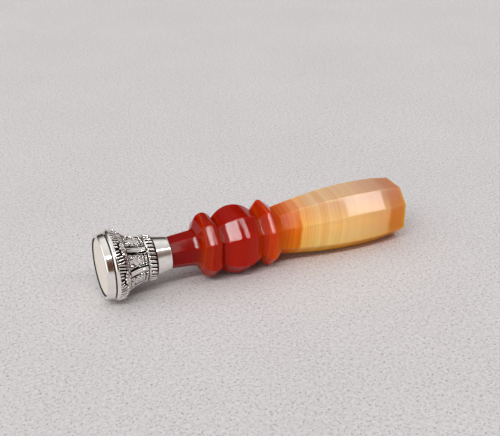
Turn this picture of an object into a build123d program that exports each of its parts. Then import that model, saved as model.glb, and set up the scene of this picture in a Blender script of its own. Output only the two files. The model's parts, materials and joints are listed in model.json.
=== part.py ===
from build123d import *
import math
import os

# Old desk seal: an eight-sided agate handle, cemented into a chased silver mount with a blank seal matrix.
# Every piece is drawn about the X axis, with the seal face at x = 0 and the pommel towards +X.
# The finished seal is then laid on its side, on its lower border and on one wide facet of the grip.
# Lengths are in millimetres and angles in degrees. An apothem is the distance from the axis to a wide facet.

# Silver mount, lengths along the axis in order from the seal face
matrix_thickness = 1.8
groove_width = 0.3
lower_border_width = 3.65
panel_length = 5.35
upper_border_width = 2.3
collar_length = 4.2

# Seal matrix and the foot plate behind it
matrix_face_radius = 8.0
matrix_bevel = 0.25
matrix_flare = 0.55
foot_plate_thickness = 1.2

# Bell, straps and the tube that carries the upper border and the collar
bell_wall = 0.7
skirt_length = 2.2
neck_tube_clearance = 0.2
neck_tube_wall = 0.4
shoulder_ledge = 1.0
neck_tube_lap = 1.2
strap_count = 7
strap_height = 0.3
strap_width = 1.1
first_strap_angle = 126.0

# Lower border: a plain strip, then a band of gadroons that bends at a knee and falls to the panels
lower_border_radius = 9.1
lower_border_wall = 1.35
lower_strip_width = 0.95
lower_lip_chamfer = 0.3
lower_knee_place = 1.45
lower_knee_fall = 0.28
lower_tail_fall = 1.5
lower_gadroon_count = 70
lower_gadroon_depth = 0.35
lower_gadroon_angle = 60.0

# Upper border: a gadrooned ring with sloping sides and a flat rim
upper_edge_height = 0.85
upper_rim_rise = 0.55
upper_rim_slope = 0.5
upper_gadroon_count = 35
upper_gadroon_depth = 0.4
upper_gadroon_angle = 80.0

# Plain tapered collar
collar_foot_wall = 0.55
collar_mouth_wall = 0.28
collar_clearance = 0.08

# Stone: a square section with canted corners, so four wide facets and four narrow ones
# Crest places are measured along the axis from the collar's mouth or from the crest before
narrow_facet_angle = 38.0
neck_apothem = 3.66
tenon_length = 5.6
cove_apothem = 4.2
cove_radius = 1.5
first_crest_place = 10.5
first_crest_apothem = 7.62
first_crest_radius = 2.6
first_front_angle = 60.0
first_back_angle = 47.0
first_groove_apothem = 6.03
bulb_crest_place = 8.0
bulb_apothem = 8.15
second_groove_apothem = 5.98
second_crest_place = 8.2
second_crest_apothem = 8.0
second_crest_radius = 1.3
second_front_angle = 43.0
second_back_angle = 40.0
third_groove_apothem = 5.72
grip_edge_place = 34.2
grip_edge_apothem = 7.75
grip_waist_pull = 9.0
grip_waist_rise = 1.35
grip_swell_pull = 12.5
grip_swell_rise = 0.85
bevel_length = 5.5
table_apothem = 7.15

# Tang that ties the mount to the stone, in its bed of cement
tang_radius = 1.4
tang_flange_radius = 3.2
tang_flange_thickness = 0.9
tang_reach = 9.6
cement_gap = 0.3

# Places along the axis
foot_plate_back = matrix_thickness + foot_plate_thickness
lower_border_front = matrix_thickness + groove_width
lower_strip_back = lower_border_front + lower_strip_width
lower_border_back = lower_border_front + lower_border_width
skirt_end = foot_plate_back + skirt_length
shoulder = lower_border_back + panel_length
collar_foot = shoulder + upper_border_width
neck_tube_end = collar_foot + neck_tube_lap
collar_mouth = collar_foot + collar_length
tenon_end = collar_mouth - tenon_length
first_crest = collar_mouth + first_crest_place
bulb_crest = first_crest + bulb_crest_place
second_crest = bulb_crest + second_crest_place
grip_edge = second_crest + grip_edge_place
table = grip_edge + bevel_length
tang_end = tenon_end + tang_reach

# Angles and radii that follow from these sizes
wide_facet_angle = 90.0 - narrow_facet_angle
narrow_rise = math.cos(math.radians(narrow_facet_angle / 2)) / math.cos(math.radians(wide_facet_angle / 2))
neck_corner_radius = neck_apothem / math.cos(math.radians(wide_facet_angle / 2))
neck_tube_bore = neck_corner_radius + neck_tube_clearance
neck_tube_radius = neck_tube_bore + neck_tube_wall
foot_radius = lower_border_radius - lower_border_wall
shoulder_radius = neck_tube_radius + shoulder_ledge
collar_foot_radius = neck_tube_radius + collar_foot_wall
collar_mouth_bore = neck_corner_radius + collar_clearance
collar_mouth_radius = collar_mouth_bore + collar_mouth_wall

# How far cutting shapes reach past the stone, and gadroon grooves past their band
overshoot = 1.0
groove_clearance = 0.2
# Points of the stone's outline that are tried as the place where it lies on the table
resting_samples = 400


def turned(outline):
    """Solid turned about the axis from a closed half outline, given as x and radius."""
    return revolve(make_face(outline), Axis.X)


def disc(front, back, radius):
    """Plain round disc about the axis, from front to back."""
    return turned(Polyline((front, 0), (front, radius), (back, radius), (back, 0), close=True))


def seal_matrix():
    """Thick disc with a bevelled, blank seal face. Its side flares a little to the back."""
    face_rim = (0, matrix_face_radius)
    bevel_rim = (matrix_bevel, matrix_face_radius + matrix_bevel)
    back_rim = (matrix_thickness, matrix_face_radius + matrix_flare)
    return turned(Polyline((0, 0), face_rim, bevel_rim, back_rim, (matrix_thickness, 0), close=True))


def foot_plate():
    """Plate that closes the bell, drilled for the tang. Its rim shows in the groove behind the matrix."""
    plate = disc(matrix_thickness, foot_plate_back, foot_radius)
    return plate - disc(matrix_thickness, foot_plate_back, tang_radius)


def bell_outline(height):
    """Half outline of skirt, flare, shoulder and neck tube, with all but the tube raised by height."""
    top = (shoulder + height, shoulder_radius + height)
    skirt_back = (skirt_end, foot_radius + height)
    skirt = Polyline((foot_plate_back, 0), (foot_plate_back, foot_radius + height), skirt_back)
    flare = TangentArc(top, skirt_back, tangent=(-1, 0))
    tube = Polyline(
        top,
        (shoulder + height, neck_tube_radius),
        (neck_tube_end, neck_tube_radius),
        (neck_tube_end, 0),
        (foot_plate_back, 0),
    )
    return skirt + flare + tube


def bell_block():
    """Bell and neck tube without their hollow."""
    return turned(bell_outline(0))


def bell_hollow():
    """Room inside the bell and its neck tube, with one straight taper behind the flare."""
    return turned(
        Polyline(
            (foot_plate_back, 0),
            (foot_plate_back, foot_radius - bell_wall),
            (skirt_end, foot_radius - bell_wall),
            (shoulder - bell_wall, neck_tube_bore),
            (neck_tube_end, neck_tube_bore),
            (neck_tube_end, 0),
            close=True,
        )
    )


def bell_straps():
    """Raised straps that divide the panels, between the two borders."""
    bar = extrude(make_face(bell_outline(strap_height)), strap_width / 2, both=True)
    panels = disc(lower_border_back, shoulder, lower_border_radius)
    strap = Rot(first_strap_angle, 0, 0) * (bar & panels)
    return [Rot(360 / strap_count * i, 0, 0) * strap for i in range(strap_count)]


def bell_body():
    """Hollow silver bell with its straps, open to the foot plate and at the neck."""
    return bell_block() + bell_straps() - bell_hollow()


def gadroon_band(profile, count):
    """Block with one flat side for each gadroon, through the points of its profile, given as x and radius."""
    rings = [Plane.YZ.offset(place) * RegularPolygon(radius, count) for place, radius in profile]
    return loft(rings, ruled=True)


def gadroon_grooves(start, knee, end, depth, opening_angle, count):
    """V grooves round a bent band, deep at its knee. Each follows the band's chord and fades at both ends."""
    chord = Vector(*end) - Vector(*start)
    outward = Vector(-chord.Y, chord.X).normalized()
    knee_height = (Vector(*knee) - Vector(*start)).dot(outward)
    bottom = (Vector(*start) + Vector(*end)) * 0.5 + outward * (knee_height - depth)
    height = depth + groove_clearance
    half_width = height * math.tan(math.radians(opening_angle / 2))
    section = Polyline((0, 0), (half_width, height), (-half_width, height), close=True)
    across = Plane(origin=bottom, x_dir=(0, 0, -1), z_dir=chord)
    groove = extrude(across * make_face(section), chord.length, both=True)
    return [Rot(360 / count * i, 0, 0) * groove for i in range(count)]


def lower_border():
    """Ring round the bell's foot and the foot plate: a plain strip and a band of gadroons."""
    lip_radius = lower_border_radius - lower_lip_chamfer
    lip = (lower_border_front, lip_radius)
    lip_back = (lower_border_front + lower_lip_chamfer, lip_radius + lower_lip_chamfer / 2)
    crest = (lower_strip_back, lower_border_radius)
    knee = (lower_strip_back + lower_knee_place, lower_border_radius - lower_knee_fall)
    tail = (lower_border_back, lower_border_radius - lower_tail_fall)
    band = gadroon_band((lip, lip_back, crest, knee, tail), lower_gadroon_count) - gadroon_grooves(
        crest, knee, tail, lower_gadroon_depth, lower_gadroon_angle, lower_gadroon_count
    )
    return band - disc(matrix_thickness, foot_plate_back, foot_radius) - bell_block()


def upper_border():
    """Narrow gadrooned ring on the neck tube, between the bell's shoulder and the collar."""
    edge = neck_tube_radius + upper_edge_height
    rim = edge + upper_rim_rise
    front = (shoulder, edge)
    rim_front = (shoulder + upper_rim_slope, rim)
    rim_back = (collar_foot - upper_rim_slope, rim)
    back = (collar_foot, edge)
    band = gadroon_band((front, rim_front, rim_back, back), upper_gadroon_count) - gadroon_grooves(
        front, rim_front, back, upper_gadroon_depth, upper_gadroon_angle, upper_gadroon_count
    )
    return band - disc(shoulder, collar_foot, neck_tube_radius)


def collar_hollow():
    """Tapered room inside the collar, from the neck tube to the mouth, which clears the stone's corners."""
    return turned(
        Polyline(
            (neck_tube_end, 0),
            (neck_tube_end, neck_tube_bore),
            (collar_mouth, collar_mouth_bore),
            (collar_mouth, 0),
            close=True,
        )
    )


def neck_collar():
    """Plain tapered ferrule that slips over the neck tube and closes round the stone's neck."""
    outside = Polyline(
        (collar_foot, 0),
        (collar_foot, collar_foot_radius),
        (collar_mouth, collar_mouth_radius),
        (collar_mouth, 0),
        close=True,
    )
    seat = disc(collar_foot, neck_tube_end, neck_tube_radius)
    return turned(outside) - seat - collar_hollow()


def ridge_ends(crest_place, crest, radius, front_angle, front_foot, back_angle, back_foot):
    """Four points of a lapped ridge: front foot, both ends of its rounded crest and back foot."""
    front, back = math.radians(front_angle), math.radians(back_angle)
    middle = crest - radius
    front_end = (crest_place - radius * math.sin(front), middle + radius * math.cos(front))
    back_end = (crest_place + radius * math.sin(back), middle + radius * math.cos(back))
    front_point = (front_end[0] - (front_end[1] - front_foot) / math.tan(front), front_foot)
    back_point = (back_end[0] + (back_end[1] - back_foot) / math.tan(back), back_foot)
    return front_point, front_end, back_end, back_point


def stone_outline(rise):
    """Half outline of the stone as x and apothem times rise, tenon to table, and the corner that the cove rounds."""
    cove, first_rise, first_fall, first_groove = [(x, y * rise) for x, y in ridge_ends(
        first_crest, first_crest_apothem, first_crest_radius,
        first_front_angle, cove_apothem, first_back_angle, first_groove_apothem,
    )]
    second_groove, second_rise, second_fall, third_groove = [(x, y * rise) for x, y in ridge_ends(
        second_crest, second_crest_apothem, second_crest_radius,
        second_front_angle, second_groove_apothem, second_back_angle, third_groove_apothem,
    )]
    neck_height = neck_apothem * rise
    edge = (grip_edge, grip_edge_apothem * rise)
    neck = Polyline((tenon_end, neck_height), (collar_mouth, neck_height), cove, first_rise)
    first_collar = ThreePointArc(first_rise, (first_crest, first_crest_apothem * rise), first_fall)
    first_flank = Line(first_fall, first_groove)
    bulb = ThreePointArc(first_groove, (bulb_crest, bulb_apothem * rise), second_groove)
    second_flank = Line(second_groove, second_rise)
    second_collar = ThreePointArc(second_rise, (second_crest, second_crest_apothem * rise), second_fall)
    third_flank = Line(second_fall, third_groove)
    grip = Bezier(
        third_groove,
        (third_groove[0] + grip_waist_pull, third_groove[1] + grip_waist_rise * rise),
        (grip_edge - grip_swell_pull, (grip_edge_apothem + grip_swell_rise) * rise),
        edge,
    )
    bevel = Line(edge, (table, table_apothem * rise))
    ridges = neck + first_collar + first_flank + bulb + second_flank + second_collar + third_flank
    return ridges + grip + bevel, cove


def drilled_hole():
    """Hole in the stone's tenon for the tang and the cement round it."""
    return disc(tenon_end, tang_end + cement_gap, tang_radius + cement_gap)


def stone_bar(rise):
    """Bar with the stone's outline above and below, drawn out sideways past all other facets."""
    outline, cove = stone_outline(rise)
    end, start = (table, table_apothem * rise), (tenon_end, neck_apothem * rise)
    half_section = make_face(outline + Polyline(end, (table, 0), (tenon_end, 0), start))
    cove_corners = [v for v in half_section.vertices() if math.isclose(v.X, cove[0], abs_tol=1e-6)]
    half_section = fillet(cove_corners, cove_radius)
    section = half_section + mirror(half_section, about=Plane.XZ)
    return extrude(Plane.XZ * section, section.bounding_box().max.Y + overshoot, both=True)


def agate_handle():
    """Eight-sided stone: what two bars for its wide facets and two for its narrow ones have in common."""
    wide = stone_bar(1)
    narrow = stone_bar(narrow_rise)
    stone = wide & Rot(90, 0, 0) * wide & Rot(45, 0, 0) * narrow & Rot(-45, 0, 0) * narrow
    return stone - drilled_hole()


def handle_tang():
    """Rod through the foot plate, with a flange on the plate and its end in the stone's drilled hole."""
    rod = disc(matrix_thickness, tang_end, tang_radius)
    return rod + disc(foot_plate_back, foot_plate_back + tang_flange_thickness, tang_flange_radius)


def setting_cement(stone, tang):
    """Cement that fills the bell, the collar and the drilled hole round the stone and the tang."""
    bed = bell_hollow() + collar_hollow() - stone
    return bed + drilled_hole() - tang


def resting_tilt():
    """Angle by which the axis falls towards the pommel when the seal lies on its border and its stone."""
    outline, _ = stone_outline(1)
    wire = Wire(outline.edges())
    points = [wire @ (i / resting_samples) for i in range(resting_samples + 1)]
    falls = [(lower_border_radius - p.Y) / (p.X - lower_strip_back) for p in points if p.X > collar_mouth]
    return math.degrees(math.atan(min(falls)))


def main():
    """Builds every piece, lays the seal on its side and writes one file for each piece."""
    stone = agate_handle()
    tang = handle_tang()
    pieces = {
        "agate_handle": stone,
        "neck_collar": neck_collar(),
        "upper_border": upper_border(),
        "bell_body": bell_body(),
        "lower_border": lower_border(),
        "foot_plate": foot_plate(),
        "seal_matrix": seal_matrix(),
        "handle_tang": tang,
        "setting_cement": setting_cement(stone, tang),
    }
    tilt = resting_tilt()
    lying = {name: Rot(0, tilt, 0) * piece for name, piece in pieces.items()}
    box = Compound(list(lying.values())).bounding_box()
    to_origin = Pos(-box.center().X, -box.center().Y, -box.min.Z)
    print("tilt", tilt, "seal face centre", to_origin.position)
    os.makedirs("parts", exist_ok=True)
    for name, piece in lying.items():
        placed = to_origin * piece
        print(name, len(placed.solids()), round(placed.volume, 2), placed.is_valid)
        export_step(placed, f"parts/{name}.step")


if __name__ == "__main__":
    main()
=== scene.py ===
"""Studio scene of an old desk seal: a polished agate handle in a chased silver mount, lying on pale card.

Each visible piece is a surface worked out on a grid of rings about the seal's own axis and replaces the
solid of the same name. Lengths are in millimetres along that axis until the rings are placed in the frame,
in metres.
"""

import json
import logging
import math
from dataclasses import dataclass
from enum import Enum

import bpy
import numpy as np
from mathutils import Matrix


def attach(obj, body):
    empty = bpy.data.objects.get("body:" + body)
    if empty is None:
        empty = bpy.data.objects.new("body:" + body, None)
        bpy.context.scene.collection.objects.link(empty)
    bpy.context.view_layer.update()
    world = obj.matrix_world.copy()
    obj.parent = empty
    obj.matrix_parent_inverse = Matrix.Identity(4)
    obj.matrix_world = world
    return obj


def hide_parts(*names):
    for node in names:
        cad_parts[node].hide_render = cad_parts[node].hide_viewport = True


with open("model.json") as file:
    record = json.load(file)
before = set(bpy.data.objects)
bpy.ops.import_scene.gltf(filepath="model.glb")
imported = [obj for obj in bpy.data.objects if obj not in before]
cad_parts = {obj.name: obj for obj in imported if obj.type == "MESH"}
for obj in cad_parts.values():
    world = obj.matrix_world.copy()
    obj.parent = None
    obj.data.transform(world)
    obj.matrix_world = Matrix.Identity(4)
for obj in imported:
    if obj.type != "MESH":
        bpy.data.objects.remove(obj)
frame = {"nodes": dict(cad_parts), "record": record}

LOG = logging.getLogger("desk_seal")
MM = 0.001
PICTURE_WIDTH = 500
FULL_TURN = 2 * math.pi
SHARP_DEGREES = 45.0

Pair = tuple[float, float]
Triple = tuple[float, float, float]
Steps = tuple[int, ...]
Stops = tuple[tuple[float, str], ...]
Socket = bpy.types.NodeSocket
Tree = bpy.types.NodeTree


class Ends(Enum):
    """How a grid of rings is closed along its outline."""

    LOOP = "the last ring joins the first"
    CAPS = "one flat face closes each end"


class Slot(Enum):
    """Material slots of the record."""

    AGATE = "agate"
    SILVER = "silver"


@dataclass(frozen=True)
class SealAxis:
    """The seal's own axes: x from the seal face to the pommel, y to the back and z upwards."""

    origin: np.ndarray
    along: np.ndarray
    side: np.ndarray
    rise: np.ndarray

    @classmethod
    def from_record(cls, record: dict) -> "SealAxis":
        """Reads the axes from the mount on the seal face.

        Args:
            record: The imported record.

        Returns:
            The axes, with unit directions and the origin in metres.
        """
        face = next(mount for mount in record["mounts"] if mount["name"] == "seal_face")
        along = -np.array(face["axis"])
        side = np.array([0.0, 1.0, 0.0])
        return cls(np.array(face["pos_m"]), along, side, np.cross(along, side))

    def direction(self, vector: np.ndarray) -> np.ndarray:
        """Turns a direction given on the seal's own axes into the frame's."""
        return vector @ np.stack([self.along, self.side, self.rise])

    def place(self, points: np.ndarray) -> np.ndarray:
        """Turns points in millimetres on the seal's own axes into metres in the frame."""
        return self.origin + self.direction(points * MM)


def to_linear(colour: str) -> tuple[float, float, float, float]:
    """Turns an sRGB hex colour into linear light by the sRGB curve.

    Args:
        colour: Hex colour such as "#C08040".

    Returns:
        Linear red, green and blue, and an alpha of 1.
    """
    channels = np.array([int(colour[i:i + 2], 16) for i in (1, 3, 5)]) / 255
    linear = np.where(channels <= 0.04045, channels / 12.92, ((channels + 0.055) / 1.055) ** 2.4)
    return (*linear.tolist(), 1.0)


def ease(low: float, high: float, value: np.ndarray) -> np.ndarray:
    """Smooth step: 0 below low, 1 above high and 3t^2 - 2t^3 between them."""
    t = np.clip((value - low) / (high - low), 0, 1)
    return t * t * (3 - 2 * t)


@dataclass(frozen=True)
class Stroke:
    """One stroke of the chasing tool: a round ridge, or a groove where its height is negative."""

    height: float
    place: float
    half_width: float

    def at(self, distance: np.ndarray) -> np.ndarray:
        """Height at a distance: a raised cosine, full at the stroke's place and 0 at its half width."""
        away = np.clip((distance - self.place) / self.half_width, -1, 1)
        return self.height * (0.5 + 0.5 * np.cos(np.pi * away))


def polyline(corners: list[Pair], steps: Steps, closed: bool) -> np.ndarray:
    """Points along straight runs between corners.

    Args:
        corners: Axial place and radius of each corner.
        steps: Number of points on each run, without its last corner.
        closed: Whether a last run goes back to the first corner.

    Returns:
        Array of points, n by 2. An open line keeps its last corner.
    """
    ends = np.array(corners + corners[:1] if closed else corners, dtype=float)
    runs = [a + (b - a) * np.linspace(0, 1, n, endpoint=False)[:, None]
            for a, b, n in zip(ends[:-1], ends[1:], steps)]
    return np.concatenate(runs if closed else runs + [ends[-1:]])


def arc(start: Pair, middle: Pair, end: Pair, steps: int) -> np.ndarray:
    """Points of the circle through three points: its centre is where the two chords' bisectors meet.

    Args:
        start: Axial place and radius of the first point.
        middle: A point of the circle between the ends.
        end: The last point.
        steps: Number of points.

    Returns:
        Array of points, steps by 2.
    """
    a, b, c = np.array(start), np.array(middle), np.array(end)
    chords = np.stack([b - a, c - b])
    centre = np.linalg.solve(chords, [chords[0] @ (a + b) / 2, chords[1] @ (b + c) / 2])
    angles = np.unwrap([math.atan2(p[1] - centre[1], p[0] - centre[0]) for p in (a, b, c)])
    turn = np.linspace(angles[0], angles[2], steps)
    return centre + np.linalg.norm(a - centre) * np.stack([np.cos(turn), np.sin(turn)], axis=1)


def bezier(controls: list[Pair], steps: int) -> np.ndarray:
    """Points of the Bezier curve: the controls weighted with Bernstein polynomials.

    Args:
        controls: Axial place and radius of each control point.
        steps: Number of points.

    Returns:
        Array of points, steps by 2.
    """
    t = np.linspace(0, 1, steps)[:, None]
    last = len(controls) - 1
    weights = [math.comb(last, i) * t ** i * (1 - t) ** (last - i) for i in range(last + 1)]
    return sum(weight * np.array(point) for weight, point in zip(weights, controls))


def even_steps(line: np.ndarray, spacing: float) -> np.ndarray:
    """Resamples an open line at equal distances along it.

    Args:
        line: Points of the line, one in each row.
        spacing: Wanted distance between points.

    Returns:
        The new points, with both ends kept.
    """
    travelled = np.concatenate([[0], np.cumsum(np.linalg.norm(np.diff(line, axis=0), axis=1))])
    stops = np.linspace(0, travelled[-1], int(round(travelled[-1] / spacing)) + 1)
    return np.stack([np.interp(stops, travelled, line[:, i]) for i in range(line.shape[1])], axis=1)


def blurred(values: np.ndarray, reach: int, axis: int) -> np.ndarray:
    """Average of each value and its neighbours up to reach steps away, round a closed axis."""
    return sum(np.roll(values, shift, axis=axis) for shift in range(-reach, reach + 1)) / (2 * reach + 1)


def ring_angles(count: int) -> np.ndarray:
    """Equal angles round the axis, from the side that faces the front, upwards."""
    return np.arange(count) * FULL_TURN / count


def turn_rings(outline: np.ndarray, height: np.ndarray) -> np.ndarray:
    """Turns an outline about the axis and raises it along its normal.

    The point at angle p is x = s, y = -r cos p, z = r sin p, where (s, r) is the outline plus height times
    the outline's unit normal.

    Args:
        outline: Outline, rows by 2, closed unless every height is 0.
        height: Raise of each point, rows by columns.

    Returns:
        Points on the seal's own axes, rows by columns by 3.
    """
    run = np.roll(outline, -1, axis=0) - np.roll(outline, 1, axis=0)
    run /= np.linalg.norm(run, axis=1, keepdims=True)
    place = outline[:, :1] - run[:, 1:] * height
    radius = outline[:, 1:] + run[:, :1] * height
    angle = ring_angles(height.shape[1])
    return np.stack([place, -radius * np.cos(angle), radius * np.sin(angle)], axis=2)


def ring_mesh(name: str, axis: SealAxis, points: np.ndarray, ends: Ends,
              relief: np.ndarray | None = None) -> bpy.types.Object:
    """Makes a closed mesh from rings of points, with its faces outwards.

    Args:
        name: Name of the piece.
        axis: The seal's own axes.
        points: Points on those axes, rows by columns by 3. Columns run round the axis.
        ends: How the rows are closed. Caps come after all other faces, first row first.
        relief: Optional value for each point, 0 in the deepest recess and 1 on the heights.

    Returns:
        The new object, riding on the body.
    """
    rows, columns = points.shape[:2]
    index = np.arange(rows * columns).reshape(rows, columns)
    lower = index if ends is Ends.LOOP else index[:-1]
    upper = np.roll(index, -1, axis=0) if ends is Ends.LOOP else index[1:]
    around = [lower, np.roll(lower, -1, axis=1), np.roll(upper, -1, axis=1), upper]
    quads = np.stack(around, axis=2).reshape(-1, 4)
    flat = points.reshape(-1, 3)
    corner = flat[quads]
    volume = np.einsum("ij,ij->i", corner[:, 0], np.cross(corner[:, 1], corner[:, 2])).sum()
    volume += np.einsum("ij,ij->i", corner[:, 0], np.cross(corner[:, 2], corner[:, 3])).sum()
    caps = [] if ends is Ends.LOOP else [index[0, ::-1].tolist(), index[-1].tolist()]
    faces = quads.tolist() + caps
    if volume < 0:
        faces = quads[:, ::-1].tolist() + [cap[::-1] for cap in caps]
    mesh = bpy.data.meshes.new(name)
    mesh.from_pydata(axis.place(flat).tolist(), [], faces)
    mesh.polygons.foreach_set("use_smooth", np.ones(len(mesh.polygons), dtype=bool))
    mesh.set_sharp_from_angle(angle=math.radians(SHARP_DEGREES))
    if relief is not None:
        attribute = mesh.attributes.new("relief", "FLOAT", "POINT")
        attribute.data.foreach_set("value", relief.ravel().astype(np.float32))
    mesh.update()
    piece = bpy.data.objects.new(name, mesh)
    bpy.context.scene.collection.objects.link(piece)
    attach(piece, "root")
    return piece


def stand_for(piece: bpy.types.Object, node: str,
              material: bpy.types.Material) -> bpy.types.Object:
    """Dresses a piece with its finish and hides the solid that it stands for.

    Args:
        piece: The new piece.
        node: Name of the solid that it replaces.
        material: The piece's finish.

    Returns:
        The same piece.
    """
    piece.data.materials.append(material)
    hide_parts(node)
    return piece


def set_inputs(tree: Tree, node: bpy.types.Node, inputs: dict | tuple) -> None:
    """Links or sets a node's inputs.

    Args:
        tree: Node tree that holds the node.
        node: The node.
        inputs: Values and output sockets, by name or number in a dict, or in order in a tuple.
    """
    pairs = inputs.items() if isinstance(inputs, dict) else enumerate(inputs)
    for key, value in pairs:
        if isinstance(value, Socket):
            tree.links.new(value, node.inputs[key])
        else:
            node.inputs[key].default_value = value


def add_node(tree: Tree, kind: str, inputs: dict | tuple = (), output: int | str = 0, stops: Stops = (),
             **settings: object) -> Socket:
    """Adds a node with its settings, values and links.

    Args:
        tree: Node tree of a material or of the room.
        kind: Blender's name of the node type after "ShaderNode".
        inputs: Values and output sockets for the inputs, as set_inputs takes them.
        output: Name or number of the output that is wanted.
        stops: Places and hex colours of a colour ramp.
        settings: Properties of the node.

    Returns:
        The wanted output of the new node.
    """
    node = tree.nodes.new("ShaderNode" + kind)
    for key, value in settings.items():
        setattr(node, key, value)
    set_inputs(tree, node, inputs)
    if stops:
        elements = node.color_ramp.elements
        while len(elements) < len(stops):
            elements.new(1.0)
        for element, (place, colour) in zip(elements, stops):
            element.position = place
            element.color = to_linear(colour)
    return node.outputs[output]


def new_material(name: str) -> tuple[bpy.types.Material, Tree, bpy.types.Node, Socket]:
    """Makes a node material with nothing set.

    Args:
        name: Name of the material.

    Returns:
        The material, its tree, its surface shader and the place on the piece as Object coordinates.
    """
    material = bpy.data.materials.new(name)
    material.use_nodes = True
    tree = material.node_tree
    return material, tree, tree.nodes["Principled BSDF"], add_node(tree, "TexCoord", output="Object")


@dataclass(frozen=True)
class PolishedSilver:
    """Sterling silver, cast and chased, polished on its heights and left dark with sulphide in its recesses.

    The eye sees a bright, slightly warm mirror with hair scratches, and near-black lines where the cloth
    never goes.
    """

    name: str
    bright: str = "#FCFAF7"
    tarnish: str = "#DDD3C6"
    hollow: str = "#15110E"
    hollow_stain: str = "#2A221C"
    hollow_roughness: float = 0.5
    roughness_range: Pair = (0.07, 0.15)
    scratch_mm: float = 0.12
    scratch_stretch: Triple = (0.25, 1.0, 1.0)
    scratch_range: Pair = (0.3, 0.75)
    scratch_bump: float = 0.06
    scratch_depth_mm: float = 0.05
    stain_mm: float = 5.0
    stain_range: Pair = (0.45, 0.8)
    stain_most: float = 0.75
    grain_mm: float = 0.35
    wear: float = 0.34
    polish_range: Pair = (0.28, 0.6)

    def material(self) -> bpy.types.Material:
        """Builds the node material.

        Returns:
            A metal whose hollows are read from the piece's relief.
        """
        material, tree, shader, place = new_material(self.name)
        blotch = add_node(tree, "TexNoise", {
            "Vector": place, "Scale": 1 / (self.stain_mm * MM), "Detail": 4.0, "Roughness": 0.6}, "Fac")
        stain = add_node(tree, "MapRange", (blotch, *self.stain_range, 0.0, self.stain_most))
        height = add_node(tree, "Mix", {
            0: stain, 6: to_linear(self.bright), 7: to_linear(self.tarnish)}, 2, data_type="RGBA")
        deep = add_node(tree, "Mix", {
            0: stain, 6: to_linear(self.hollow), 7: to_linear(self.hollow_stain)}, 2, data_type="RGBA")
        # Hair scratches from polishing, drawn about twice as coarse as real ones so that they show
        stretched = add_node(tree, "Mapping", {"Vector": place, "Scale": self.scratch_stretch})
        scratch = add_node(tree, "TexNoise", {
            "Vector": stretched, "Scale": 1 / (self.scratch_mm * MM), "Detail": 3.0}, "Fac")
        rough = add_node(tree, "MapRange", (scratch, *self.scratch_range, *self.roughness_range))
        # Relief, made uneven by wear, parts the polished heights from the dark hollows
        relief = add_node(tree, "Attribute", output="Fac", attribute_name="relief")
        grain = add_node(tree, "TexNoise", {
            "Vector": place, "Scale": 1 / (self.grain_mm * MM), "Detail": 3.0}, "Fac")
        uneven = add_node(tree, "Math", (grain, self.wear, -self.wear / 2), operation="MULTIPLY_ADD")
        worn = add_node(tree, "Math", (relief, uneven), operation="ADD")
        polish_and_shade = add_node(tree, "MapRange", (worn, *self.polish_range), interpolation_type="SMOOTHSTEP")
        set_inputs(tree, shader, {
            "Base Color": add_node(tree, "Mix", {0: polish_and_shade, 6: deep, 7: height}, 2, data_type="RGBA"),
            "Roughness": add_node(tree, "MapRange", (polish_and_shade, 0.0, 1.0, self.hollow_roughness, rough)),
            "Normal": add_node(tree, "Bump", {
                "Height": scratch, "Strength": self.scratch_bump, "Distance": self.scratch_depth_mm * MM}),
            "Metallic": 1.0})
        return material


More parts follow.
